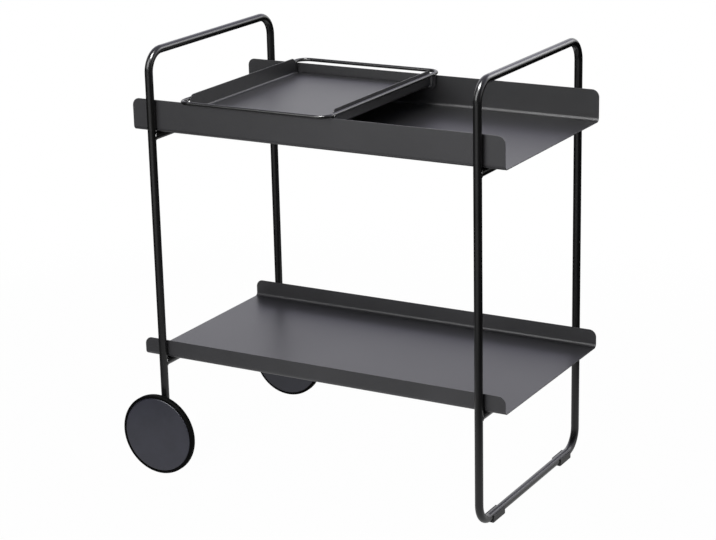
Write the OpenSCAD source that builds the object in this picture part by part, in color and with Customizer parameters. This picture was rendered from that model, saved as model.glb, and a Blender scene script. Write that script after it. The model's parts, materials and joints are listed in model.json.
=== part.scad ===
// Bar cart in millimetres. Two bent-tube frames carry two folded sheet shelves, and a
// lift-off tray hangs on the upper shelf. The wheel-end frame is an upside-down U on two
// wheels, the foot-end frame is a closed loop on two clip feet. X runs from the wheels
// towards the feet, Y from front to back and Z up from the floor.

/* [Frames] */
// Height from the floor to the top of the handles
overall_h = 756; // [660:1:900]
// Distance between the two frames, tube centre to tube centre
frame_spacing = 614; // [480:1:760]
// Distance between the front and back legs, tube centre to tube centre
leg_spacing = 391; // [340:1:460]
// Outside diameter of the frame tube
tube_d = 14; // [12:0.5:18]
// Wall of the frame tube and of the crossbars
tube_wall = 1.5; // [1:0.25:2]
// Bend radius of the frame tube at its centre line
frame_bend_r = 36; // [28:1:50]
// Outside diameter of the crossbars
crossbar_d = 14; // [10:0.5:14]

/* [Shelves] */
// Height of the lower shelf's underside above the floor
lower_shelf_z = 205; // [190:1:280]
// Distance from the upper shelf's underside up to the top of the handles
handle_rise = 145; // [125:1:200]
// Length of shelf beyond each frame's tube centre
shelf_overhang = 43; // [25:1:80]
// Height of the upper shelf's front and back flanges, from its underside
upper_flange_h = 55.5; // [46:0.5:65]
// Height of the lower shelf's front and back flanges, from its underside
lower_flange_h = 32; // [24:0.5:50]
// Thickness of the shelf sheet
sheet_t = 1.5; // [1:0.25:2.5]
// Inside radius of the shelf folds
shelf_fold_r = 6; // [2:0.5:8]
// Radius of the rounded upper corners of the flanges
flange_corner_r = 13; // [5:0.5:16]
// Space between a flange and the legs beside it
flange_gap = 2.5; // [1:0.25:5]

/* [Tray] */
// Width of the tray sheet across its two walls
tray_w = 278; // [200:1:300]
// Height of the tray's walls, from its underside
tray_wall_h = 29.5; // [24:0.5:34]
// Thickness of the tray sheet
tray_t = 1.5; // [1:0.25:2]
// Inside radius of the tray folds
tray_fold_r = 4; // [2:0.5:6]
// How far each tray wall stops short of the sheet's open ends
tray_wall_setback = 6; // [2:0.5:12]
// Radius of the rounded upper ends of the tray walls
tray_corner_r = 11; // [6:0.5:18]
// Depth of the tray's underside below the centre of its rail
tray_drop = 21.8; // [18:0.1:24]
// Space between each end of the tray sheet and the flange
tray_end_gap = 6.5; // [5:0.25:12]
// Clear distance from the wheel-end legs to the tray rail
tray_from_legs = 51; // [10:0.5:110]
// Diameter of the tray's rod
rod_d = 6.5; // [5:0.25:8]
// Space between a tray wall and the rail beside it
rail_gap = 0.3; // [0.2:0.05:2]
// Finger space between a flange and the rail's end bar
handle_gap = 13; // [6:0.5:25]
// Bend radius of the rail's corners at the rod's centre
rail_bend_r = 20; // [10:0.5:24]
// Bend radius of the cradle rods at the rod's centre
cradle_bend_r = 8; // [6:0.5:10]

/* [Wheels] */
// Outside diameter of the tyres
wheel_d = 145; // [120:1:165]
// Width of a wheel over its cover
wheel_w = 12; // [10:0.5:16]
// How far the hub stands out from the wheel towards the leg
hub_reach = 8; // [4:0.5:14]
// Space between a leg and the hub beside it
wheel_leg_gap = 3.5; // [2.5:0.25:8]
// Thickness of the tyre, from the rim outwards
tyre_t = 5; // [4:0.25:8]
// Radius of the rounded edges of the tyre tread
tyre_edge_r = 2.5; // [1.5:0.25:3.75]
// Thickness of the rim under the tyre
rim_t = 5; // [3:0.5:8]
// Thickness of the inner face between hub and rim
web_t = 3; // [2:0.25:4]
// Wall of the hub round its bush
hub_wall = 6; // [5:0.25:8]
// Thickness of the cover's face
cover_t = 1.5; // [1:0.25:1.75]
// Radius of the cover's rounded shoulder
cover_shoulder_r = 2.5; // [2:0.25:4]
// Length of leg below the axle
leg_below_axle = 20; // [17:0.5:30]

/* [Axles and fasteners] */
// Diameter of the axle bolt's shoulder
axle_d = 10; // [9:0.5:12]
// Diameter of the axle bolt's thread
axle_thread_d = 8; // [6:0.5:8.5]
// Diameter of the axle bolt's head
axle_head_d = 18; // [15:0.5:19]
// Height of the axle bolt's head
axle_head_h = 4; // [3:0.25:5]
// Wall of the hub bush
bush_wall = 2; // [1:0.25:2.5]
// Diameter of the shelf studs
stud_d = 5; // [4:0.5:6]
// Distance of each shelf stud from the cart's middle
stud_y = 90; // [60:1:130]
// Thickness of the saddle washers behind the tube
saddle_t = 2; // [1.5:0.25:3]

/* [Feet] */
// Thickness of the clip feet under the tube
sole_t = 2.5; // [2:0.25:5]
// Length of the clip feet along the tube
clip_l = 42; // [25:1:50]
// Distance from each clip foot to the bend beside it
clip_from_bend = 2.5; // [0.5:0.5:50]
// Wall of the clip feet beside the tube
clip_wall = 1.7; // [1.2:0.1:3]

/* [Clearances] */
// Radial running clearance between axle and bush
running_gap = 0.05; // [0.02:0.01:0.1]
// Gap between pieces that are pressed, screwed or welded together
seat_gap = 0.05; // [0.02:0.01:0.1]
// Gap between a wheel or the tray and what it turns beside or rests on
rest_gap = 0.3; // [0.2:0.05:0.5]

/* [Hidden] */
$fn = 64;

// Colours of the finishes
frame_black = [0.09, 0.09, 0.10];
shelf_black = [0.20, 0.20, 0.215];
wheel_slate = [0.24, 0.24, 0.26];
rubber_black = [0.05, 0.05, 0.05];
plastic_black = [0.08, 0.08, 0.08];
hardware_black = [0.12, 0.12, 0.13];
zinc = [0.66, 0.67, 0.68];
nylon = [0.85, 0.84, 0.80];

// How far a cutting shape reaches past what it cuts
cut = 1;

// Clearance of a bolt or peg in its hole
hole_gap = 0.2;

// Sizes of a nut and of a washer over their thread diameter, and a cap nut's domed end
nut_height_ratio = 0.8;
nut_flats_ratio = 1.6;
washer_ratio = 2.4;
dome_inset = 0.4;
nut_spare_depth = 0.5;

tube_r = tube_d / 2;
crossbar_r = crossbar_d / 2;
wheel_r = wheel_d / 2;
leg_y = leg_spacing / 2;
handle_z = overall_h - tube_r;
bottom_bar_z = sole_t + tube_r;

// The origin is under the middle of the whole cart, whose ends are the tyres and the shelves
wheel_reach = max(frame_spacing / 2 + wheel_r, frame_spacing / 2 + shelf_overhang);
foot_reach = frame_spacing / 2 + shelf_overhang;
middle_x = (wheel_reach - foot_reach) / 2;
wheel_frame_x = middle_x - frame_spacing / 2;
foot_frame_x = middle_x + frame_spacing / 2;

shelf_l = frame_spacing + 2 * shelf_overhang;
shelf_w = leg_spacing - tube_d - 2 * flange_gap;
upper_shelf_z = overall_h - handle_rise;

// Rail and sheet of the tray
rod_r = rod_d / 2;
rail_x = tray_w / 2 + rail_gap + rod_r;
rail_y = shelf_w / 2 + handle_gap + rod_r;
rail_z = upper_shelf_z + upper_flange_h + rest_gap + rod_r;
tray_x = wheel_frame_x + tube_r + tray_from_legs + rod_r + rail_x;
tray_l = shelf_w - 2 * sheet_t - 2 * tray_end_gap;
tray_z = rail_z - tray_drop;
cradle_y = tray_l / 2;
cradle_z = tray_z - seat_gap - rod_r;

// Places along an axle, measured from the cart's middle plane
hub_in = leg_y + tube_r + wheel_leg_gap;
wheel_in = hub_in + hub_reach;
wheel_out = wheel_in + wheel_w;
cover_seat = wheel_out - cover_shoulder_r;
head_space = 1.5;
head_side_gap = 1;
head_out = wheel_out - cover_t - head_space;
head_in = head_out - axle_head_h;
bush_in = hub_in + rest_gap;
bush_out = head_in - rest_gap;
bush_flange_t = 1;
bush_flange_rim = 2;
bush_flange_r = axle_d / 2 + bush_wall + bush_flange_rim;
hub_face = bush_in + bush_flange_t + seat_gap;
tyre_inset = 0.5;
rim_in = wheel_in + tyre_inset;
saddle_lip = 3;
saddle_rim = 1;
saddle_r = tube_r + saddle_rim;
axle_washer_in = leg_y - tube_r - saddle_t;
axle_nut_h = nut_height_ratio * axle_thread_d;
axle_nut_flats = nut_flats_ratio * axle_thread_d;
axle_thread_end = axle_washer_in - axle_nut_h;
rim_r = wheel_r - tyre_t;
skirt_end_gap = 1;
skirt_gap = 0.2;
cover_gap = 0.25;

// Shelf fasteners, and the face that the cap nuts press on, below a shelf's underside
stud_nut_h = nut_height_ratio * stud_d;
stud_nut_flats = nut_flats_ratio * stud_d;
stud_washer_r = washer_ratio * stud_d / 2;
stud_washer_low = seat_gap + crossbar_d + saddle_t;

// Clip feet
clip_y = leg_y - frame_bend_r - clip_from_bend - clip_l / 2;
clip_grip = 3.5;
peg_d = 4.8;
peg_l = 3;
clip_edge_r = 2;

// Leg plugs
plug_head_t = 2;
plug_stem_l = 10;

// Turns the XY plane into the YZ plane at a given X, so X becomes Y and Y becomes Z
module cross_plane(x) {
    translate([x, 0, 0]) rotate([90, 0, 90]) children();
}

// Round bar along the local X axis
module bar_x(from, to, y, r) {
    translate([from, y, 0]) rotate([0, 90, 0]) cylinder(h = to - from, r = r);
}

// Round bar along the local Y axis
module bar_y(x, from, to, r) {
    translate([x, from, 0]) rotate([-90, 0, 0]) cylinder(h = to - from, r = r);
}

// Quarter bend in the local XY plane that starts at the given angle
module bend(x, y, start, bend_r, r) {
    translate([x, y, 0]) rotate([0, 0, start])
        rotate_extrude(angle = 90) translate([bend_r, 0]) circle(r = r);
}

// Top bar, two upper bends and two legs of a frame, as one solid bar
module frame_arch(low, r) {
    y = leg_y - frame_bend_r;
    z = handle_z - frame_bend_r;
    bar_x(-y, y, handle_z, r);
    bend(y, z, 0, frame_bend_r, r);
    bend(-y, z, 90, frame_bend_r, r);
    for (side = [-1, 1]) bar_y(side * leg_y, low, z, r);
}

// Bottom bar and two lower bends of the closed frame, as one solid bar
module frame_base(r) {
    y = leg_y - frame_bend_r;
    z = bottom_bar_z + frame_bend_r;
    bar_x(-y, y, bottom_bar_z, r);
    bend(-y, z, 180, frame_bend_r, r);
    bend(y, z, 270, frame_bend_r, r);
}

module wheel_frame_tube() {
    low = wheel_r - leg_below_axle;
    color(frame_black) cross_plane(wheel_frame_x) difference() {
        frame_arch(low, tube_r);
        frame_arch(low - cut, tube_r - tube_wall);
        bar_x(-leg_y - tube_d, leg_y + tube_d, wheel_r, axle_thread_d / 2 + hole_gap);
    }
}

module foot_frame_tube() {
    bend_z = bottom_bar_z + frame_bend_r;
    color(frame_black) cross_plane(foot_frame_x) difference() {
        union() {
            frame_arch(bend_z, tube_r);
            frame_base(tube_r);
        }
        frame_arch(bend_z, tube_r - tube_wall);
        frame_base(tube_r - tube_wall);
        for (side = [-1, 1]) bar_y(side * clip_y, 0, bottom_bar_z, peg_d / 2 + hole_gap);
    }
}

// Tube between two legs, coped to them, under the shelf whose underside is at the given height
module crossbar(x, shelf_z) {
    z = shelf_z - seat_gap - crossbar_r;
    color(frame_black) cross_plane(x) difference() {
        bar_x(-leg_y, leg_y, z, crossbar_r);
        bar_x(-leg_y - cut, leg_y + cut, z, crossbar_r - tube_wall);
        for (side = [-1, 1]) {
            bar_y(side * leg_y, z - crossbar_d, z + crossbar_d, tube_r + seat_gap);
            bar_y(side * stud_y, z - crossbar_d, z + crossbar_d, stud_d / 2 + hole_gap);
        }
    }
}

// Cross-section of a sheet folded up at both sides, centred on the Y axis
module channel_section(w, h, t, fold_r) {
    outer_r = fold_r + t;
    translate([-w / 2 + outer_r, 0]) square([w - 2 * outer_r, t]);
    for (side = [0, 1]) mirror([side, 0]) {
        translate([w / 2 - t, outer_r]) square([t, h - outer_r]);
        translate([w / 2 - outer_r, outer_r]) intersection() {
            difference() {
                circle(r = outer_r);
                circle(r = fold_r);
            }
            translate([0, -outer_r]) square([outer_r, outer_r]);
        }
    }
}

// Side view of an upright wall whose two upper corners are rounded
module wall_outline(l, h, r) {
    translate([-l / 2, 0]) square([l, h - r]);
    translate([-l / 2 + r, 0]) square([l - 2 * r, h]);
    for (side = [-1, 1]) translate([side * (l / 2 - r), h - r]) circle(r = r);
}

module shelf(z, flange_h) {
    color(shelf_black) translate([middle_x, 0, z]) intersection() {
        rotate([90, 0, 90]) linear_extrude(height = shelf_l, center = true)
            channel_section(shelf_w, flange_h, sheet_t, shelf_fold_r);
        rotate([90, 0, 0]) linear_extrude(height = shelf_w + cut, center = true)
            wall_outline(shelf_l, flange_h, flange_corner_r);
    }
}

// Copies its children to the four studs of a shelf
module at_studs(z) {
    for (x = [wheel_frame_x, foot_frame_x], side = [-1, 1])
        translate([x, side * stud_y, z]) children();
}

module shelf_studs(shelf_z) {
    length = stud_washer_low + stud_nut_h;
    color(zinc) at_studs(shelf_z - length) cylinder(h = length, d = stud_d);
}

module shelf_saddle_washers(shelf_z) {
    h = saddle_t + saddle_lip;
    crossbar_z = -seat_gap - crossbar_r + stud_washer_low;
    color(hardware_black) at_studs(shelf_z - stud_washer_low) difference() {
        cylinder(h = h, r = stud_washer_r);
        translate([0, 0, -cut]) cylinder(h = h + 2 * cut, r = stud_d / 2 + hole_gap);
        translate([0, -crossbar_d, crossbar_z]) rotate([-90, 0, 0])
            cylinder(h = 2 * crossbar_d, r = crossbar_r + seat_gap);
    }
}

// Hexagon nut with a domed end, standing on the XY plane with its bore from below
module cap_nut(flats, h, bore_r) {
    dome_r = flats / 2 - dome_inset;
    difference() {
        union() {
            cylinder(h = h, r = flats / 2 / cos(30), $fn = 6);
            translate([0, 0, h]) intersection() {
                sphere(r = dome_r);
                cylinder(h = dome_r, r = dome_r + cut);
            }
        }
        translate([0, 0, -cut]) cylinder(h = cut + h + nut_spare_depth, r = bore_r);
    }
}

module shelf_cap_nuts(shelf_z) {
    color(hardware_black) at_studs(shelf_z - stud_washer_low) mirror([0, 0, 1])
        cap_nut(stud_nut_flats, stud_nut_h, stud_d / 2 + seat_gap);
}

// Puts its children on an axle with their Z axis outwards, 0 being the cart's middle plane
module on_axle(side) {
    translate([wheel_frame_x, 0, wheel_r]) rotate([-90 * side, 0, 0]) children();
}

// Upright bar in the place of a leg, seen from an axle
module leg_core(r) {
    translate([0, 0, leg_y]) rotate([90, 0, 0]) cylinder(h = 4 * tube_d, r = r, center = true);
}

module leg_plug(side) {
    low = wheel_r - leg_below_axle;
    stem_r = tube_r - tube_wall - seat_gap;
    color(plastic_black) translate([wheel_frame_x, side * leg_y, low]) {
        translate([0, 0, -plug_head_t]) cylinder(h = plug_head_t, r = tube_r);
        cylinder(h = plug_stem_l, r = stem_r);
    }
}

module axle_bolt(side) {
    color(zinc) on_axle(side) {
        translate([0, 0, axle_thread_end]) cylinder(h = hub_in - axle_thread_end, d = axle_thread_d);
        translate([0, 0, hub_in]) cylinder(h = head_in - hub_in, d = axle_d);
        translate([0, 0, head_in]) cylinder(h = axle_head_h, d = axle_head_d);
    }
}

module axle_spacer(side) {
    low = leg_y + tube_r - saddle_lip;
    color(plastic_black) on_axle(side) difference() {
        translate([0, 0, low]) cylinder(h = hub_in - low, r = saddle_r);
        translate([0, 0, low - cut])
            cylinder(h = hub_in - low + 2 * cut, r = axle_thread_d / 2 + seat_gap);
        leg_core(tube_r + seat_gap);
    }
}

module axle_saddle_washer(side) {
    h = saddle_t + saddle_lip;
    color(hardware_black) on_axle(side) difference() {
        translate([0, 0, axle_washer_in]) cylinder(h = h, r = saddle_r);
        translate([0, 0, axle_washer_in - cut])
            cylinder(h = h + 2 * cut, r = axle_thread_d / 2 + hole_gap);
        leg_core(tube_r + seat_gap);
    }
}

module axle_cap_nut(side) {
    color(hardware_black) on_axle(side) translate([0, 0, axle_washer_in]) mirror([0, 0, 1])
        cap_nut(axle_nut_flats, axle_nut_h, axle_thread_d / 2 + seat_gap);
}

module wheel_bush(side) {
    outer_r = axle_d / 2 + bush_wall;
    color(nylon) on_axle(side) difference() {
        union() {
            translate([0, 0, bush_in]) cylinder(h = bush_flange_t, r = bush_flange_r);
            translate([0, 0, bush_in]) cylinder(h = bush_out - bush_in, r = outer_r);
        }
        translate([0, 0, bush_in - cut])
            cylinder(h = bush_out - bush_in + 2 * cut, r = axle_d / 2 + running_gap);
    }
}

// Rim, flat inner face and hub, with room for the bolt's head inside the face
module wheel_core(side) {
    rim_bore = rim_r - rim_t;
    hub_bore = axle_d / 2 + bush_wall + seat_gap;
    face_bore = (axle_head_d + head_side_gap) / 2;
    color(wheel_slate) on_axle(side) rotate_extrude() {
        translate([hub_bore, hub_face]) square([hub_wall, bush_out - hub_face]);
        translate([face_bore, rim_in]) square([rim_bore - face_bore, web_t]);
        translate([rim_bore, rim_in]) square([rim_t, cover_seat - rim_in]);
    }
}

module wheel_tyre(side) {
    w = wheel_w - 2 * tyre_inset;
    inner_r = rim_r + seat_gap;
    edge_x = wheel_r - tyre_edge_r;
    color(rubber_black) on_axle(side) rotate_extrude() {
        translate([inner_r, rim_in]) square([edge_x - inner_r, w]);
        translate([inner_r, rim_in + tyre_edge_r]) square([wheel_r - inner_r, w - 2 * tyre_edge_r]);
        for (z = [rim_in + tyre_edge_r, rim_in + w - tyre_edge_r])
            translate([edge_x, z]) intersection() {
                circle(r = tyre_edge_r);
                translate([0, -tyre_edge_r]) square([tyre_edge_r, 2 * tyre_edge_r]);
            }
    }
}

// Round face with a rounded shoulder that seats on the rim, and a skirt that snaps into it
module wheel_cover(side) {
    outer_r = rim_r + seat_gap - cover_gap;
    skirt_r = rim_r - rim_t - skirt_gap;
    shoulder_x = outer_r - cover_shoulder_r;
    skirt_l = cover_seat - rim_in - web_t - skirt_end_gap;
    color(wheel_slate) on_axle(side) rotate_extrude() {
        translate([0, wheel_out - cover_t]) square([shoulder_x, cover_t]);
        translate([shoulder_x, cover_seat]) intersection() {
            difference() {
                circle(r = cover_shoulder_r);
                circle(r = cover_shoulder_r - cover_t);
            }
            square(cover_shoulder_r);
        }
        translate([skirt_r - cover_t, cover_seat - skirt_l])
            square([cover_t, wheel_out - cover_t - cover_seat + skirt_l]);
    }
}

// Plastic shoe that snaps over the bottom bar, with a peg in the bar's underside
module clip_foot(side) {
    half_w = tube_r + clip_wall;
    top = bottom_bar_z + clip_grip;
    color(plastic_black) translate([foot_frame_x, side * clip_y, 0]) {
        difference() {
            rotate([90, 0, 0]) linear_extrude(height = clip_l, center = true) {
                translate([-half_w, clip_edge_r]) square([2 * half_w, top - clip_edge_r]);
                translate([-half_w + clip_edge_r, 0]) square([2 * (half_w - clip_edge_r), top]);
                for (edge = [-1, 1]) translate([edge * (half_w - clip_edge_r), clip_edge_r])
                    circle(r = clip_edge_r);
            }
            translate([0, 0, bottom_bar_z]) rotate([90, 0, 0])
                cylinder(h = clip_l + cut, r = tube_r + seat_gap, center = true);
        }
        translate([0, 0, sole_t / 2]) cylinder(h = sole_t / 2 + peg_l, d = peg_d);
    }
}

// Flat floor between two folded-up walls, which stop short of its open ends
module tray_sheet() {
    fold = tray_fold_r + tray_t;
    wall_l = tray_l - 2 * tray_wall_setback;
    color(shelf_black) translate([tray_x, 0, tray_z]) {
        translate([-tray_w / 2 + fold, -tray_l / 2, 0]) cube([tray_w - 2 * fold, tray_l, tray_t]);
        intersection() {
            rotate([90, 0, 0]) linear_extrude(height = wall_l, center = true)
                channel_section(tray_w, tray_wall_h, tray_t, tray_fold_r);
            rotate([90, 0, 90]) linear_extrude(height = tray_w + cut, center = true)
                wall_outline(wall_l, tray_wall_h, tray_corner_r);
        }
    }
}

// Closed rounded rectangle of rod whose two side bars rest on the flanges
module tray_rail() {
    x = rail_x - rail_bend_r;
    y = rail_y - rail_bend_r;
    color(frame_black) translate([tray_x, 0, rail_z]) {
        for (side = [-1, 1]) {
            bar_x(-x, x, side * rail_y, rod_r);
            bar_y(side * rail_x, -y, y, rod_r);
        }
        bend(x, y, 0, rail_bend_r, rod_r);
        bend(-x, y, 90, rail_bend_r, rod_r);
        bend(-x, -y, 180, rail_bend_r, rod_r);
        bend(x, -y, 270, rail_bend_r, rod_r);
    }
}

// Wide U of rod under one end of the tray sheet, with its two uprights welded to the rail
module tray_cradle(side) {
    x = rail_x - cradle_bend_r;
    bend_z = cradle_z + cradle_bend_r;
    color(shelf_black) difference() {
        translate([tray_x, side * cradle_y, 0]) rotate([90, 0, 0]) {
            bar_x(-x, x, cradle_z, rod_r);
            bend(-x, bend_z, 180, cradle_bend_r, rod_r);
            bend(x, bend_z, 270, cradle_bend_r, rod_r);
            for (end = [-1, 1]) bar_y(end * rail_x, bend_z, rail_z, rod_r);
        }
        for (end = [-1, 1]) translate([tray_x + end * rail_x, side * cradle_y, rail_z])
            rotate([90, 0, 0]) cylinder(h = 3 * rod_d, r = rod_r + seat_gap, center = true);
    }
}

wheel_frame_tube();
foot_frame_tube();
crossbar(wheel_frame_x, upper_shelf_z);  // wheel_frame_upper_crossbar
crossbar(wheel_frame_x, lower_shelf_z);  // wheel_frame_lower_crossbar
crossbar(foot_frame_x, upper_shelf_z);  // foot_frame_upper_crossbar
crossbar(foot_frame_x, lower_shelf_z);  // foot_frame_lower_crossbar
shelf(upper_shelf_z, upper_flange_h);  // upper_shelf
shelf(lower_shelf_z, lower_flange_h);  // lower_shelf
shelf_studs(upper_shelf_z);  // upper_shelf_studs
shelf_studs(lower_shelf_z);  // lower_shelf_studs
shelf_saddle_washers(upper_shelf_z);  // upper_shelf_saddle_washers
shelf_saddle_washers(lower_shelf_z);  // lower_shelf_saddle_washers
shelf_cap_nuts(upper_shelf_z);  // upper_shelf_cap_nuts
shelf_cap_nuts(lower_shelf_z);  // lower_shelf_cap_nuts
leg_plug(-1);  // front_leg_plug
leg_plug(1);  // rear_leg_plug
axle_bolt(-1);  // front_axle_bolt
axle_bolt(1);  // rear_axle_bolt
axle_spacer(-1);  // front_axle_spacer
axle_spacer(1);  // rear_axle_spacer
axle_saddle_washer(-1);  // front_axle_saddle_washer
axle_saddle_washer(1);  // rear_axle_saddle_washer
axle_cap_nut(-1);  // front_axle_cap_nut
axle_cap_nut(1);  // rear_axle_cap_nut
wheel_bush(-1);  // front_wheel_bush
wheel_bush(1);  // rear_wheel_bush
wheel_core(-1);  // front_wheel_core
wheel_core(1);  // rear_wheel_core
wheel_tyre(-1);  // front_wheel_tyre
wheel_tyre(1);  // rear_wheel_tyre
wheel_cover(-1);  // front_wheel_cover
wheel_cover(1);  // rear_wheel_cover
clip_foot(-1);  // front_clip_foot
clip_foot(1);  // rear_clip_foot
tray_sheet();
tray_rail();
tray_cradle(-1);  // tray_front_cradle
tray_cradle(1);  // tray_rear_cradle
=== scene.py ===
# %% [markdown]
# # A bar cart with a lift-off tray
#
# Two frames of bent steel tube carry two folded sheet shelves. One frame rolls on two
# disc wheels, the other stands on two small feet, and a tray with its own rail of thin rod
# hangs on the upper shelf. The packed CAD model already holds every piece with a real size,
# so this lesson only dresses it: it sets up the camera and the studio, mixes the finishes,
# and rebuilds the pieces whose edges or welds a plain solid cannot show.
#
# Everything is in metres: X runs from the wheels to the feet, Y from front to back, Z up.

import json
from math import ceil, cos, pi, radians, sin, sqrt

import bmesh
import bpy
from mathutils import Matrix, Vector

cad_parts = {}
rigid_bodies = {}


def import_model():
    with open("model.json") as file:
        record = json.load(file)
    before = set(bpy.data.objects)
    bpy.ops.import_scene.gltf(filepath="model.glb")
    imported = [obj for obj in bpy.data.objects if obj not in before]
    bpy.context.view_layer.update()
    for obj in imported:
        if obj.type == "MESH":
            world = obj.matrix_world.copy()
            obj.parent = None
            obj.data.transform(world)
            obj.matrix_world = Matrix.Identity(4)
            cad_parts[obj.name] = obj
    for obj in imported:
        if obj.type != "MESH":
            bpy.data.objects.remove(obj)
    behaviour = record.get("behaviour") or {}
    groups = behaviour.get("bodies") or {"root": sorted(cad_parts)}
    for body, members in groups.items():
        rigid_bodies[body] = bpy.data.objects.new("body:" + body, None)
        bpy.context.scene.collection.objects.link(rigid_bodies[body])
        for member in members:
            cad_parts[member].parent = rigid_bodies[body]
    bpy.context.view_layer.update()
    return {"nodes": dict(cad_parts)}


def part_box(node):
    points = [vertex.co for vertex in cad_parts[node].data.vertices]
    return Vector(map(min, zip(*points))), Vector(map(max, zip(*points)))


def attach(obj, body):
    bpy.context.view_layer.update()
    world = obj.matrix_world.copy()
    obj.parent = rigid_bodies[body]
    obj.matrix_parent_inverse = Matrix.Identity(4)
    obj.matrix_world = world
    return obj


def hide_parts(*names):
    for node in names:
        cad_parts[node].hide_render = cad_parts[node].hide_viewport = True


for thing in list(bpy.data.objects):
    bpy.data.objects.remove(thing, do_unlink=True)

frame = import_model()
nodes = frame["nodes"]
mm = 0.001

# %% [markdown]
# ## The camera
#
# The photograph looks at the cart from its front right, a little from above, through a long
# lens. Its angle, distance and lens could be found by eye, but straight legs and shelf edges
# show every error, so they were fitted to edges that were measured in the picture. The
# camera's three axes are built from the angles, with a small roll, and become its matrix.

# %% Camera
PHOTO_WIDTH, PHOTO_HEIGHT = 716, 540
SENSOR_WIDTH = 36
focal_pixels = 2070.6
azimuth, elevation, roll = radians(29.58), radians(17.06), radians(-1.29)
camera_distance = 3.6166
aim = Vector((-0.0072, 0, 0.35055))

towards_camera = Vector((
    sin(azimuth) * cos(elevation),
    -cos(azimuth) * cos(elevation),
    sin(elevation),
))
level = Vector((cos(azimuth), sin(azimuth), 0))
upright = towards_camera.cross(level)
camera_right = cos(roll) * level + sin(roll) * upright
camera_up = cos(roll) * upright - sin(roll) * level

lens = bpy.data.cameras.new("photo_camera")
lens.sensor_width = SENSOR_WIDTH
lens.lens = focal_pixels / PHOTO_WIDTH * SENSOR_WIDTH
camera = bpy.data.objects.new("photo_camera", lens)
camera_place = aim + camera_distance * towards_camera
turn = Matrix((camera_right, camera_up, towards_camera)).transposed().to_4x4()
camera.matrix_world = Matrix.Translation(camera_place) @ turn
bpy.context.scene.collection.objects.link(camera)
bpy.context.scene.camera = camera


def photo_pixel(point):
    """Where a point of the cart lands in the photograph."""
    ray = Vector(point) - camera_place
    depth = -ray.dot(towards_camera)
    return (
        round(PHOTO_WIDTH / 2 + focal_pixels * ray.dot(camera_right) / depth, 1),
        round(PHOTO_HEIGHT / 2 - focal_pixels * ray.dot(camera_up) / depth, 1),
    )


shelf_low, shelf_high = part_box("upper_shelf")
print("lens, mm:", round(lens.lens, 1))
for end, x in (("left", shelf_low.x), ("right", shelf_high.x)):
    corner = (x, shelf_low.y, shelf_low.z)
    print(f"the upper shelf's front {end} corner lands on pixel", photo_pixel(corner))

# %% [markdown]
# ## Shader maths
#
# A finish is a small graph of nodes. Written one node at a time it is hard to read, so a
# tiny class wraps a socket and lets plain sums add the Math nodes. `1 - mask` works too,
# because the class also has the reflected forms of the operators. Every other node comes
# from one method that takes the node's type, its settings and what goes into its sockets.


# %% A value in a finish
class Wire:
    """One socket of a finish. Sums on it add Math nodes."""

    def __init__(self, recipe, socket):
        self.recipe = recipe
        self.socket = socket

    def sum_node(self, operation, first, second):
        return self.recipe.add("Math", {"operation": operation}, {0: first, 1: second})

    def __add__(self, other):
        return self.sum_node("ADD", self, other)

    __radd__ = __add__

    def __sub__(self, other):
        return self.sum_node("SUBTRACT", self, other)

    def __rsub__(self, other):
        return self.sum_node("SUBTRACT", other, self)

    def __mul__(self, other):
        return self.sum_node("MULTIPLY", self, other)

    __rmul__ = __mul__


print("a wire knows:", [name for name in vars(Wire) if name.startswith("__r")])


# %% A finish and its nodes
class Recipe:
    """The nodes of one material, or of the world."""

    def __init__(self, owner):
        owner.use_nodes = True
        self.tree = owner.node_tree
        self.tree.nodes.clear()

    def add(self, kind, settings=None, inputs=None, out=0):
        node = self.tree.nodes.new("ShaderNode" + kind)
        for name, value in (settings or {}).items():
            setattr(node, name, value)
        for name, value in (inputs or {}).items():
            if isinstance(value, Wire):
                self.tree.links.new(value.socket, node.inputs[name])
            else:
                node.inputs[name].default_value = value
        return Wire(self, node.outputs[out]) if node.outputs else None

    def place(self):
        """The point on the piece, in metres, which stays put when the piece moves."""
        return self.add("TexCoord", out="Object")

    def axis(self, vector, name):
        return self.add("SeparateXYZ", inputs={0: vector}, out=name)

    def size_of(self, value):
        """The value without its sign."""
        return self.add("Math", {"operation": "ABSOLUTE"}, {0: value})

    def cloud(self, size, detail=2):
        """Soft random grain, 0 to 1, whose blobs are about `size` metres across."""
        settings = {"Vector": self.place(), "Scale": 1 / size, "Detail": detail}
        return self.add("TexNoise", inputs=settings)

    def ramp(self, value, start, end, low=0, high=1):
        """Goes smoothly from low to high as the value goes from start to end."""
        spans = {"Value": value, "From Min": start, "From Max": end, "To Min": low, "To Max": high}
        return self.add("MapRange", {"interpolation_type": "SMOOTHSTEP"}, spans)

    def blend(self, mask, first, second):
        """Colour between two colours."""
        return self.add("Mix", {"data_type": "RGBA"}, {0: mask, 6: first, 7: second}, out=2)

    def bump(self, height, depth):
        """Relief whose full height is `depth` metres."""
        return self.add("Bump", inputs={"Height": height, "Distance": depth, "Strength": 1})

    def surface(self, shader, output="OutputMaterial"):
        self.add(output, inputs={"Surface": shader})


def grey(level, tint=(1, 1, 1)):
    """A grey as a colour socket wants it, bent towards a tint."""
    return (level * tint[0], level * tint[1], level * tint[2], 1)


print("a mid grey is", grey(0.5))

# %% [markdown]
# ## The studio
#
# The photograph has a pure white background. More light on the cart would give that too, but
# it would wash out the black coat. Instead the world is white only for the camera's own
# rays. Glossy rays see a quieter studio that is fixed to the room: a white wall behind the
# cart, which the shelf floors mirror at a low angle, a lit floor far in front, which the
# flanges mirror, and dark sides, which keep the edges of the tubes crisp. Black steel shows
# its shape by what it mirrors and hardly by what it scatters, so the soft light that comes
# from all round is weak, and weaker from the right, where the photograph's shadows lie. The
# lower shelf looks a little bluer than the upper one, which mirrors a lower part of the
# wall, so the wall cools towards its top.

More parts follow.
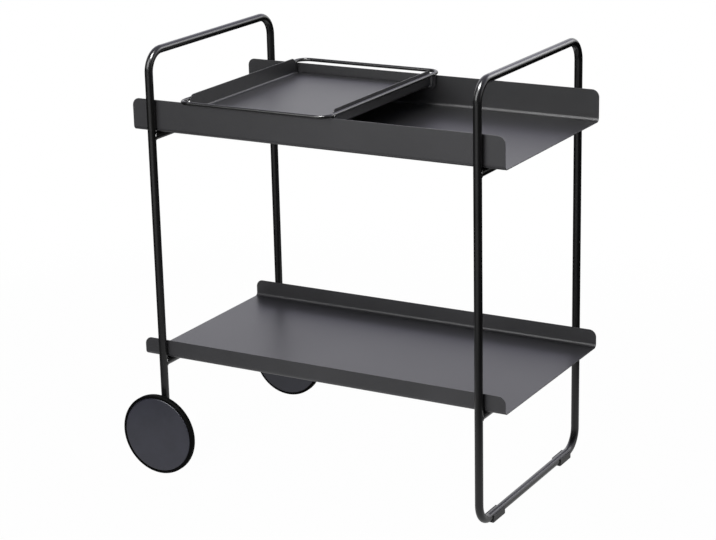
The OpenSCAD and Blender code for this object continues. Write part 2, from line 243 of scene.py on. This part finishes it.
# %% World
world = bpy.data.worlds.new("white_studio")
bpy.context.scene.world = world
sky = Recipe(world)
towards = sky.add("TexCoord", out="Generated")
sideways, backwards, upwards = (sky.axis(towards, name) for name in "XYZ")
wall_glow = sky.ramp(backwards, start=-0.3, end=0.45, low=0.1, high=1.4)
wall_top = sky.ramp(upwards, start=0.4, end=0.55, low=1, high=0.5)
front_floor = sky.ramp(backwards, start=-0.68, end=-0.95, low=0.006, high=0.75)
above = sky.ramp(upwards, start=-0.06, end=0.06)
mirrored = wall_glow * wall_top * above + front_floor * (1 - above)
soft_light = sky.ramp(sideways, start=0.7, end=-0.7, low=0.1, high=0.2)
seen_by_camera = sky.add("LightPath", out="Is Camera Ray")
seen_by_gloss = sky.add("LightPath", out="Is Glossy Ray")
room = mirrored * seen_by_gloss + soft_light * (1 - seen_by_gloss)
strength = seen_by_camera + room * (1 - seen_by_camera)
WALL_TOP_TINT = (1.09, 1.07, 1.27)
wall_colour = sky.blend(sky.ramp(upwards, start=0.3, end=0.38), grey(1), grey(1, WALL_TOP_TINT))
colour = sky.blend(seen_by_camera, wall_colour, grey(1))
sky.surface(sky.add("Background", inputs={"Color": colour, "Strength": strength}), "OutputWorld")
print("world nodes:", len(sky.tree.nodes))

# %% [markdown]
# ## The floor
#
# The cart needs something to stand on, or it would float. The floor is a plain white disc
# that takes the cart's shadow. For the camera most of its white is its own glow, so it ends
# without a line in the white world, and the glow takes over completely towards the rim. For
# light that bounces back up to the cart it is a dull grey, because white paper would fill
# the dark undersides. Glossy rays see a third floor: lit in a pool round the cart, which the
# wheel discs and the lower ends of the legs mirror, and again far in front, where the
# world's lower half carries on. Behind the cart it is dark, because a white floor there
# would draw pale lines along the black legs.

# %% Floor
FLOOR_RADIUS = 1.7
GLOW = 0.985
SEEN_PAPER = 0.86
BOUNCING_PAPER = 0.25
BRIGHT_FLOOR = 0.7
DARK_FLOOR = 0.006
white_paper = bpy.data.materials.new("white_floor")
paper = Recipe(white_paper)
centre_distance = paper.add("VectorMath", {"operation": "LENGTH"}, {0: paper.place()}, out="Value")
rim = paper.ramp(centre_distance, 0.7 * FLOOR_RADIUS, 0.98 * FLOOR_RADIUS)
for_camera = paper.add("LightPath", out="Is Camera Ray")
glow = (GLOW + (1 - GLOW) * rim) * for_camera
paper_tone = paper.blend(for_camera, grey(BOUNCING_PAPER), grey(SEEN_PAPER))
lit = paper.add("BsdfDiffuse", inputs={"Color": paper_tone})
white = paper.add("Emission", inputs={"Color": grey(1), "Strength": 1})
floor_place = paper.place()
off_centre = paper.size_of(paper.axis(floor_place, "X"))
behind = paper.axis(floor_place, "Y")
strip = paper.ramp(off_centre, start=1.2, end=0.6)
far_tone = paper.ramp(behind, start=-0.78, end=-1.5, low=DARK_FLOOR, high=BRIGHT_FLOOR) * strip
near_tone = paper.ramp(centre_distance, start=0.95, end=0.55, low=0, high=BRIGHT_FLOOR)
mirror_tone = paper.blend(far_tone + near_tone, grey(0), grey(1))
mirror_image = paper.add("Emission", inputs={"Color": mirror_tone, "Strength": 1})
in_a_mirror = paper.add("LightPath", out="Is Glossy Ray")
for_the_eye = paper.add("MixShader", inputs={0: glow, 1: lit, 2: white})
paper.surface(paper.add("MixShader", inputs={0: in_a_mirror, 1: for_the_eye, 2: mirror_image}))

disc = bmesh.new()
bmesh.ops.create_circle(disc, cap_ends=True, radius=FLOOR_RADIUS, segments=96)
floor_mesh = bpy.data.meshes.new("floor")
disc.to_mesh(floor_mesh)
disc.free()
floor_mesh.materials.append(white_paper)
floor = bpy.data.objects.new("floor", floor_mesh)
bpy.context.scene.collection.objects.link(floor)
print("floor across, m:", 2 * FLOOR_RADIUS)

# %% [markdown]
# ## The lamps
#
# The lamps are large flat softboxes. A real one both lights a surface and is mirrored in
# it, but on satin black the two are wanted in different places, so each lamp here does one
# of them. The low front lamp only lights: mirrored, it would lie as a haze over the flanges.
# A low rear lamp does the same for the back, which the photograph doesn't show, and hangs
# below the upper shelf, so that it leaves the shelf floors alone. The other three are only
# mirrored. One stands high in front and runs as a line down the legs, one hangs overhead
# and draws the arc on the wheels' shoulders, and one stands behind the feet's end and draws
# the bright lines on the two handles. Their power is given as brightness per area, because
# that is what a reflection shows. Together with the world they come to a plain level, at
# which a white card looks white and no brighter.


# %% Softboxes
def softbox(name, place, target, size, brightness, lights=True, mirrored=True):
    """A square lamp of `size` metres, seen as `brightness` where it is mirrored."""
    lamp = bpy.data.lights.new(name, "AREA")
    lamp.size = size
    lamp.energy = brightness * pi * size * size
    made = bpy.data.objects.new(name, lamp)
    made.location = place
    made.rotation_euler = (Vector(place) - Vector(target)).to_track_quat("Z", "Y").to_euler()
    made.visible_camera = False
    made.visible_diffuse = lights
    made.visible_glossy = mirrored
    bpy.context.scene.collection.objects.link(made)
    if lights:
        distance = (Vector(target) - Vector(place)).length
        card = brightness * size * size / pi / distance**2
        print(name, "lights a facing card to", round(card, 2))
    else:
        print(name, "is only mirrored, at a brightness of", brightness)


cart_middle = (0, 0, 0.4)
softbox("front_softbox", (0.1, -2.5, 0.8), cart_middle, size=1.2, brightness=10.5, mirrored=False)
softbox("rear_softbox", (-0.2, 2.5, 0.4), cart_middle, size=0.8, brightness=22, mirrored=False)
softbox("front_high_softbox", (-0.5, -1.96, 1.85), cart_middle, 1.5, brightness=7, lights=False)
wheels, handles = (-0.2, -0.2, 0), (0.1, 0, 0.6)
softbox("overhead_softbox", (0.27, -0.75, 2.4), wheels, size=0.8, brightness=55, lights=False)
softbox("back_softbox", (1.18, 1.75, 1.65), handles, size=0.95, brightness=4, lights=False)

bpy.context.scene.view_settings.view_transform = "Standard"

# %% [markdown]
# ## Powder coat
#
# Frames, shelves and tray are steel with a baked black powder coat. The powder melts into a
# skin with a fine grain, under it lies a wider, soft unevenness like orange peel, and hands
# polish the handles a little. A single black with one roughness would look like plastic
# film, so three sizes of soft noise drive the relief, the roughness and a faint drift of
# the colour. Sheets get more powder than tubes and look a touch lighter and duller.

# %% Powder coat
PEEL_SIZE = 5.5 * mm
DRIFT_SIZE = 140 * mm
GRIP_LOW, GRIP_HIGH = 700 * mm, 735 * mm


def powder_coat(name, dark, pale, roughness, grain_size, grain_depth):
    """Black powder coat: fine grain, orange peel, and handles polished by hands."""
    material = bpy.data.materials.new(name)
    coat = Recipe(material)
    grain = coat.cloud(grain_size, detail=1)
    peel = coat.cloud(PEEL_SIZE, detail=0)
    drift = coat.cloud(DRIFT_SIZE, detail=3)
    polished = coat.ramp(coat.axis(coat.place(), "Z"), GRIP_LOW, GRIP_HIGH)
    tone = coat.ramp(0.65 * drift + 0.35 * grain, 0.3, 0.7)
    satin = roughness + 0.05 * (drift - 0.5) + 0.08 * (grain - 0.5) - 0.05 * polished
    relief = 0.7 * grain + 0.3 * peel
    coat.surface(coat.add("BsdfPrincipled", inputs={
        "Base Color": coat.blend(tone, dark, pale),
        "Roughness": satin,
        "Normal": coat.bump(relief, grain_depth),
    }))
    print(name, "has", len(coat.tree.nodes), "nodes")
    return material


COOL = (0.99, 0.985, 1.05)
frame_coat = powder_coat(
    "satin_black_tube_coat", dark=grey(0.004), pale=grey(0.0075, COOL),
    roughness=0.3, grain_size=0.9 * mm, grain_depth=0.02 * mm,
)
sheet_coat = powder_coat(
    "slate_black_sheet_coat", dark=grey(0.032, COOL), pale=grey(0.041, COOL),
    roughness=0.4, grain_size=0.8 * mm, grain_depth=0.03 * mm,
)

# %% [markdown]
# ## Zinc plate
#
# Studs and axle bolts are hidden and keep a bright zinc plate: a cool, slightly cloudy
# mirror with a trace of yellow and blue. The washers and cap nuts can be seen from below, so
# they have the black plate that goes with a black cart. Both are metal, so their colour lives
# in the reflection, and the clouds go into the roughness and the tint.


# %% Zinc plate
def zinc_plate(name, cool, warm, roughness):
    """Zinc with a cloudy coloured passivation."""
    material = bpy.data.materials.new(name)
    plate = Recipe(material)
    bloom = plate.cloud(4 * mm, detail=3)
    brushing = plate.cloud(0.5 * mm, detail=2)
    plate.surface(plate.add("BsdfPrincipled", inputs={
        "Base Color": plate.blend(plate.ramp(bloom, 0.35, 0.65), cool, warm),
        "Metallic": 1,
        "Roughness": roughness + 0.16 * bloom + 0.06 * brushing,
        "Normal": plate.bump(brushing, 0.008 * mm),
    }))
    print(name, "has", len(plate.tree.nodes), "nodes")
    return material


bright_zinc = zinc_plate(
    "bright_zinc_plate",
    cool=(0.57, 0.60, 0.64, 1), warm=(0.66, 0.64, 0.57, 1), roughness=0.26,
)
black_zinc = zinc_plate(
    "black_zinc_plate",
    cool=(0.050, 0.053, 0.060, 1), warm=(0.064, 0.060, 0.055, 1), roughness=0.30,
)

# %% [markdown]
# ## Moulded plastics
#
# Feet, leg plugs and spacers are black plastic, the wheel discs are slate black plastic.
# Their mould was spark eroded, which leaves a fine dull pebble on every face. The pebble
# could be real geometry, but it is a tenth of a millimetre deep, so a bump is the right
# tool. Voronoi cells mixed with soft noise give the rounded pits.


# %% Moulded plastics
def moulded_plastic(name, dark, pale, roughness, pebble):
    """Plastic from a spark eroded mould, with pebbles of about `pebble` metres."""
    material = bpy.data.materials.new(name)
    moulding = Recipe(material)
    cells = {"Vector": moulding.place(), "Scale": 1 / pebble}
    pits = moulding.add("TexVoronoi", {"feature": "SMOOTH_F1"}, cells)
    flow = moulding.cloud(30 * mm, detail=2)
    fine = moulding.cloud(0.35 * mm, detail=1)
    tone = moulding.ramp(0.7 * flow + 0.3 * fine, 0.3, 0.7)
    moulding.surface(moulding.add("BsdfPrincipled", inputs={
        "Base Color": moulding.blend(tone, dark, pale),
        "Roughness": roughness + 0.07 * (flow - 0.5) + 0.06 * (fine - 0.5),
        "Normal": moulding.bump(0.6 * pits + 0.4 * fine, 0.03 * mm),
    }))
    print(name, "has", len(moulding.tree.nodes), "nodes")
    return material


foot_plastic = moulded_plastic(
    "black_moulded_plastic", dark=grey(0.006), pale=grey(0.011), roughness=0.5, pebble=0.7 * mm,
)
SLATE = (0.86, 0.88, 1.25)
wheel_plastic = moulded_plastic(
    "slate_wheel_plastic", dark=grey(0.026, SLATE), pale=grey(0.033, SLATE),
    roughness=0.30, pebble=0.9 * mm,
)

# %% [markdown]
# ## Tyre rubber
#
# The tyres are soft black rubber. Rubber has almost no mirror, and its running surface picks
# up a film of dust and fine scuffs that the sides don't get. The distance from the axle
# tells the two apart: the mask rises over the last millimetre of radius.

# %% Tyre rubber
tyre_low, tyre_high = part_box("front_wheel_tyre")
axle = (tyre_low + tyre_high) / 2
tyre_radius = (tyre_high.z - tyre_low.z) / 2
tyre_rubber = bpy.data.materials.new("tyre_rubber")
rubber = Recipe(tyre_rubber)
from_axle = rubber.add("VectorMath", {"operation": "SUBTRACT"}, {0: rubber.place(), 1: axle})
flat = rubber.add("VectorMath", {"operation": "MULTIPLY"}, {0: from_axle, 1: (1, 0, 1)})
radius = rubber.add("VectorMath", {"operation": "LENGTH"}, {0: flat}, out="Value")
scuffs = rubber.cloud(2.5 * mm, detail=3)
skin = rubber.cloud(0.5 * mm, detail=1)
tread = rubber.ramp(radius, start=tyre_radius - 1.2 * mm, end=tyre_radius - 0.1 * mm)
dusty = tread * rubber.ramp(scuffs, 0.35, 0.7)
rubber.surface(rubber.add("BsdfPrincipled", inputs={
    "Base Color": rubber.blend(dusty, grey(0.002), grey(0.006)),
    "Roughness": 0.62 + 0.15 * dusty + 0.08 * (skin - 0.5),
    "Specular IOR Level": 0.04,
    "Normal": rubber.bump(0.6 * skin + 0.4 * scuffs, 0.04 * mm),
}))
print("tyre radius, mm:", round(tyre_radius / mm, 1))

# %% [markdown]
# ## Nylon
#
# The hubs run on plain nylon bushes, whose flanges show round the axles from behind. Natural
# nylon is a milky off-white with a soft gloss.

# %% Nylon
bush_nylon = bpy.data.materials.new("natural_nylon")
nylon = Recipe(bush_nylon)
milk = nylon.cloud(3 * mm, detail=2)
nylon.surface(nylon.add("BsdfPrincipled", inputs={
    "Base Color": nylon.blend(milk, (0.66, 0.64, 0.57, 1), (0.74, 0.72, 0.66, 1)),
    "Roughness": 0.38 + 0.12 * milk,
    "Normal": nylon.bump(milk, 0.02 * mm),
}))
print("nylon nodes:", len(nylon.tree.nodes))

# %% [markdown]
# ## Dressing the CAD pieces
#
# Tubes, rods, wheels and fasteners already have their true shape in the CAD model, so they
# stay. Each one carries the name of the finish that the record gave it, and the finish is
# looked up by that name. Small turned and moulded pieces have knife-sharp edges in CAD. A
# weld modifier joins the faces and a bevel rounds the edges by a hair, so they catch light
# as real edges do, and weighted normals keep the large faces flat.

# %% Dress the CAD pieces
finishes = {
    "frame_coat": frame_coat,
    "sheet_coat": sheet_coat,
    "zinc": bright_zinc,
    "black_zinc": black_zinc,
    "black_plastic": foot_plastic,
    "wheel_disc": wheel_plastic,
    "tyre": tyre_rubber,
    "bush": bush_nylon,
}
for node in nodes.values():
    for holder in node.material_slots:
        holder.material = finishes[holder.material.name]

SAME_POINT = 0.002 * mm
SHARP_EDGE = radians(35)


def break_edges(piece, width):
    """Rounds every sharp edge of a piece by `width` metres."""
    weld = piece.modifiers.new("join_faces", "WELD")
    weld.merge_threshold = SAME_POINT
    bevel = piece.modifiers.new("broken_edges", "BEVEL")
    bevel.width = width
    bevel.segments = 2
    bevel.limit_method = "ANGLE"
    bevel.angle_limit = SHARP_EDGE
    normals = piece.modifiers.new("flat_faces", "WEIGHTED_NORMAL")
    normals.keep_sharp = False


broken_mm = {
    "clip_foot": 0.5, "leg_plug": 0.6, "axle_spacer": 0.3, "saddle_washer": 0.2, "cap_nut": 0.3,
    "axle_bolt": 0.4, "wheel_core": 0.4, "wheel_bush": 0.15,
}
for name, node in nodes.items():
    for kind, width in broken_mm.items():
        if kind in name:
            break_edges(node, width * mm)
print("edges broken on", sum(bool(node.modifiers) for node in nodes.values()), "nodes")

# %% [markdown]
# ## Making a piece
#
# New pieces are built in mesh code. Each one becomes an object with the finish of one of the
# record's slots and rides on the body that carries it. One that is a better version of a CAD
# piece hides the nodes it stands for.


# %% Make a piece
def make_piece(name, shape, finish, body, *stands_for):
    """Turns a finished mesh into a piece of the cart."""
    bmesh.ops.recalc_face_normals(shape, faces=shape.faces)
    mesh = bpy.data.meshes.new(name)
    shape.to_mesh(mesh)
    shape.free()
    mesh.materials.append(finishes[finish])
    mesh.polygons.foreach_set("use_smooth", [True] * len(mesh.polygons))
    piece = bpy.data.objects.new(name, mesh)
    bpy.context.scene.collection.objects.link(piece)
    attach(piece, body)
    if stands_for:
        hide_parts(*stands_for)
    print(name, "has", len(mesh.polygons), "faces")
    return piece


# %% [markdown]
# ## Folded sheets
#
# Shelves and tray are cut from flat steel, deburred and folded up at two sides on a press
# brake. They could be swept from a cross-section, but then the rounded corners would need
# a boolean and the cut edges would stay sharp. Making them as the workshop does is simpler
# and truer: a flat blank with rounded corners gets its thickness, its edges are broken,
# lines are scored across the two fold zones, and then every point is moved to where the
# brake would carry it. Points near the inside of a fold end up closer together than those
# on the outside, as in real steel.

# %% Cut a blank
CORNER_STEPS = 12
FOLD_STEPS = 10
DEBURR = 0.35 * mm
CUT_EDGE = radians(60)


def cut_blank(length, width, thickness, corner_radius, floor_half, setback=0):
    """Flat sheet along X with rounded corners, its underside at Z 0.

    Beyond `floor_half` it is shorter by `setback` at each end.
    """
    blank = bmesh.new()
    outline = []
    wall_end = length / 2 - setback
    for along, across, start in ((1, 1, 0), (-1, 1, 90), (-1, -1, 180), (1, -1, 270)):
        centre_x = along * (wall_end - corner_radius)
        centre_y = across * (width / 2 - corner_radius)
        centre = Vector((centre_x, centre_y, 0))
        corner = []
        for step in range(CORNER_STEPS + 1):
            angle = radians(start + 90 * step / CORNER_STEPS)
            corner.append(centre + Vector((cos(angle), sin(angle), 0)) * corner_radius)
        if setback:
            notch = [Vector((along * x, across * floor_half, 0)) for x in (length / 2, wall_end)]
            corner = notch + corner if along == across else corner + notch[::-1]
        outline += [blank.verts.new(point) for point in corner]
    face = blank.faces.new(outline)
    raised = bmesh.ops.extrude_face_region(blank, geom=[face])["geom"]
    top = [v for v in raised if isinstance(v, bmesh.types.BMVert)]
    bmesh.ops.translate(blank, verts=top, vec=(0, 0, thickness))
    bmesh.ops.recalc_face_normals(blank, faces=blank.faces)
    sharp = [edge for edge in blank.edges if edge.calc_face_angle(0) > CUT_EDGE]
    bmesh.ops.bevel(blank, geom=sharp, offset=DEBURR, segments=2, profile=0.5, affect="EDGES")
    return blank


trial = cut_blank(200 * mm, 100 * mm, 1.5 * mm, 13 * mm, floor_half=30 * mm, setback=6 * mm)
print("a trial blank has", len(trial.faces), "faces")
trial.free()


# %% Fold a blank
def fold_sheet(length, width, wall_height, thickness, fold_radius, corner_radius, setback=0):
    """Sheet along X whose two long sides are folded up to walls. Underside at Z 0."""
    outer = fold_radius + thickness
    neutral = fold_radius + thickness / 2
    arc = pi / 2 * neutral
    flat_half = width / 2 - outer
    blank_width = 2 * (flat_half + arc + wall_height - outer)
    sheet = cut_blank(length, blank_width, thickness, corner_radius, flat_half, setback)
    for side in (-1, 1):
        for step in range(FOLD_STEPS + 1):
            score = side * (flat_half + arc * step / FOLD_STEPS)
            everything = sheet.verts[:] + sheet.edges[:] + sheet.faces[:]
            line = {"plane_co": (0, score, 0), "plane_no": (0, 1, 0)}
            bmesh.ops.bisect_plane(sheet, geom=everything, dist=1e-7, **line)
    for point in sheet.verts:
        side = 1 if point.co.y > 0 else -1
        past = abs(point.co.y) - flat_half
        if past <= 0:
            continue
        reach = outer - point.co.z
        angle = min(past / neutral, pi / 2)
        climb = max(past - arc, 0)
        point.co.y = side * (flat_half + reach * sin(angle))
        point.co.z = outer - reach * cos(angle) + climb
    return sheet


trial = fold_sheet(200 * mm, 100 * mm, 30 * mm, 1.5 * mm, fold_radius=6 * mm, corner_radius=13 * mm)
trial_height = max(point.co.z for point in trial.verts)
print("a trial fold meant to stand 30 mm high stands", round(trial_height / mm, 2))
trial.free()


# %% Seat a folded sheet
def sheet_piece(name, shape, body, node):
    """Places a folded sheet where its CAD node is and keeps its flat faces flat."""
    low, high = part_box(node)
    seat = ((low.x + high.x) / 2, (low.y + high.y) / 2, low.z)
    bmesh.ops.translate(shape, verts=shape.verts, vec=seat)
    piece = make_piece(name, shape, "sheet_coat", body, node)
    piece.modifiers.new("flat_faces", "WEIGHTED_NORMAL").keep_sharp = False


# %% [markdown]
# ## The two shelves
#
# Both shelves are the same folded channel, open at the ends. The upper one has tall flanges
# that keep bottles in and carry the tray, the lower one has low flanges. Their sizes are
# read from the CAD nodes, so the two models cannot drift apart.

# %% Shelves
SHEET_THICKNESS = 1.5 * mm
SHELF_FOLD = 6 * mm
FLANGE_CORNER = 13 * mm
for node in ("upper_shelf", "lower_shelf"):
    low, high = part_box(node)
    size = high - low
    shelf = fold_sheet(size.x, size.y, size.z, SHEET_THICKNESS, SHELF_FOLD, FLANGE_CORNER)
    sheet_piece(node + "_sheet", shelf, "frame", node)
    print(node, "mm:", [round(v / mm, 1) for v in size])

# %% [markdown]
# ## The tray sheet
#
# The tray is folded the other way round: its walls stand left and right, and it is open to
# the front and the back. So the same folder makes it, and it is turned by a right angle. Its
# walls stop short of the open ends, to leave room for the rod that stands up there.

# %% Tray sheet
TRAY_FOLD = 4 * mm
TRAY_CORNER = 11 * mm
WALL_SETBACK = 6 * mm
low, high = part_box("tray_sheet")
size = high - low
tray = fold_sheet(size.y, size.x, size.z, SHEET_THICKNESS, TRAY_FOLD, TRAY_CORNER, WALL_SETBACK)
bmesh.ops.rotate(tray, verts=tray.verts, cent=(0, 0, 0), matrix=Matrix.Rotation(pi / 2, 3, "Z"))
sheet_piece("tray_folded_sheet", tray, "tray", "tray_sheet")
print("tray sheet, mm:", [round(v / mm, 1) for v in size])

# %% [markdown]
# ## Weld seams
#
# The crossbars are welded to the legs all round, and the tray's uprights to its rail. Under
# the coat such a seam stays visible as a small rippled bead. A ring would not fit, because
# a bar that ends on a round tube meets it in a saddle-shaped line. The bead is swept along
# that line, and its radius swells a little at each drop of the weld pool.

# %% Weld bead
BEAD_SIDES = 10
STEPS_A_DROP = 5
RIPPLE = 0.07
BLUNT_TIP, TAPER = 0.02, 8


def lay_bead(shape, path, bead_radius, closed):
    """Sweeps a rippled bead along a path of points. An open bead tapers at its ends."""
    rings = []
    count = len(path)
    for index, point in enumerate(path):
        if closed:
            along = path[(index + 1) % count] - path[index - 1]
            taper = 1
        else:
            along = path[min(index + 1, count - 1)] - path[max(index - 1, 0)]
            end = min(index, count - 1 - index) / (count - 1)
            taper = sqrt(min(1, BLUNT_TIP + TAPER * end))
        along.normalize()
        across = along.orthogonal() if index == 0 else (across - across.dot(along) * along)
        across.normalize()
        ripple = 1 + RIPPLE * abs(sin(pi * index / STEPS_A_DROP))
        ring = []
        for side in range(BEAD_SIDES):
            angle = 2 * pi * side / BEAD_SIDES
            spoke = cos(angle) * across + sin(angle) * along.cross(across)
            ring.append(shape.verts.new(point + spoke * bead_radius * taper * ripple))
        rings.append(ring)
    for first, second in zip(rings, rings[1:] + rings[:1] if closed else rings[1:]):
        # a closed bead's last ring may be turned against its first, so the nearest points join
        shift = 0
        if closed:
            shift = min(range(BEAD_SIDES), key=lambda s: (second[s].co - first[0].co).length)
        for side in range(BEAD_SIDES):
            following = (side + 1) % BEAD_SIDES
            above = second[(side + shift) % BEAD_SIDES]
            beyond = second[(following + shift) % BEAD_SIDES]
            shape.faces.new((first[side], first[following], beyond, above))
    if not closed:
        shape.faces.new(rings[0])
        shape.faces.new(rings[-1])


trial = bmesh.new()
lay_bead(trial, [Vector((step * mm, 0, 0)) for step in range(11)], 1 * mm, closed=False)
print("a trial bead of 10 mm has", len(trial.faces), "faces")
trial.free()

# %% Saddle line
SADDLE_ROUND = 2.3 * pi
CREASE = 0.03


def saddle_path(centre, branch, main, bar_radius, drop):
    """Closed line where a bar that comes along `branch` ends on an equal bar along `main`."""
    branch, main = Vector(branch), Vector(main)
    side = main.cross(branch)
    drops = ceil(SADDLE_ROUND * bar_radius / drop)
    count = drops * STEPS_A_DROP
    path = []
    for index in range(count):
        angle = 2 * pi * index / count
        climb = sqrt(sin(angle) ** 2 + CREASE)
        spoke = cos(angle) * side + sin(angle) * main - climb * branch
        path.append(Vector(centre) + bar_radius * spoke)
    return path


def lay_saddle(shape, centre, branch, main, bar_radius, bead_radius, drop):
    """A closed bead round the end of a bar."""
    path = saddle_path(centre, branch, main, bar_radius, drop)
    lay_bead(shape, path, bead_radius, closed=True)


line = saddle_path((0, 0, 0), (0, 1, 0), (0, 0, 1), 7 * mm, 1.5 * mm)
length = sum((point - line[index - 1]).length for index, point in enumerate(line))
print("round a 14 mm tube a saddle line is", round(length / mm, 1), "mm long")

# %% Crossbar welds
UP = (0, 0, 1)
TUBE_RADIUS = 7 * mm
FRAME_BEAD = 1.3 * mm
FRAME_DROP = 1.5 * mm
leg_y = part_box("foot_frame_tube")[1].y - TUBE_RADIUS
welds = bmesh.new()
for crossbar in [name for name in nodes if name.endswith("crossbar")]:
    low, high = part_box(crossbar)
    middle = (low + high) / 2
    for side in (-1, 1):
        joint = (middle.x, side * leg_y, middle.z)
        lay_saddle(welds, joint, (0, side, 0), UP, TUBE_RADIUS, FRAME_BEAD, FRAME_DROP)
make_piece("crossbar_welds", welds, "frame_coat", "frame")

# %% Tray welds
BACK = (0, 1, 0)
ROD_RADIUS = 3.25 * mm
ROD_BEAD = 0.9 * mm
ROD_DROP = 1.0 * mm
rail_low, rail_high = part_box("tray_rail")
rail_z = (rail_low.z + rail_high.z) / 2
welds = bmesh.new()
for end in ("front", "rear"):
    low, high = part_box(f"tray_{end}_cradle")
    for x in (low.x + ROD_RADIUS, high.x - ROD_RADIUS):
        joint = (x, (low.y + high.y) / 2, rail_z)
        lay_saddle(welds, joint, UP, BACK, ROD_RADIUS, ROD_BEAD, ROD_DROP)
make_piece("tray_rail_welds", welds, "frame_coat", "tray")

# %% [markdown]
# ## Stitch welds under the tray
#
# Three short stitches hold the tray's floor to each cradle rod, and three more hold each
# wall to the rail. A stitch fills the groove between a round rod and a flat sheet, so its
# middle lies a quarter of the rod's radius off the sheet. Only someone who lifts the tray
# sees them.

# %% Stitch welds
RIGHT = (1, 0, 0)
STITCH_LENGTH = 14 * mm
STITCH_PLACES = (-95 * mm, 0, 95 * mm)
ALONG_SHEET, OFF_SHEET = 0.75 * ROD_RADIUS, 0.25 * ROD_RADIUS
tray_low, tray_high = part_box("tray_sheet")
tray_x = (tray_low.x + tray_high.x) / 2


def lay_stitch(shape, centre, direction):
    """One short open bead along a groove."""
    count = int(STITCH_LENGTH / ROD_DROP) * STEPS_A_DROP
    steps = [STITCH_LENGTH * (index / count - 0.5) for index in range(count + 1)]
    path = [Vector(centre) + step * Vector(direction) for step in steps]
    lay_bead(shape, path, ROD_BEAD, closed=False)


stitches = bmesh.new()
for place in STITCH_PLACES:
    for end, inwards in (("front", 1), ("rear", -1)):
        low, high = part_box(f"tray_{end}_cradle")
        groove_y = (low.y + high.y) / 2 + inwards * ALONG_SHEET
        lay_stitch(stitches, (tray_x + place, groove_y, tray_low.z - OFF_SHEET), RIGHT)
    for wall_x, outwards in ((tray_low.x, -1), (tray_high.x, 1)):
        groove_x = wall_x + outwards * OFF_SHEET
        lay_stitch(stitches, (groove_x, place, rail_z - ALONG_SHEET), BACK)
make_piece("tray_stitch_welds", stitches, "frame_coat", "tray")

# %% [markdown]
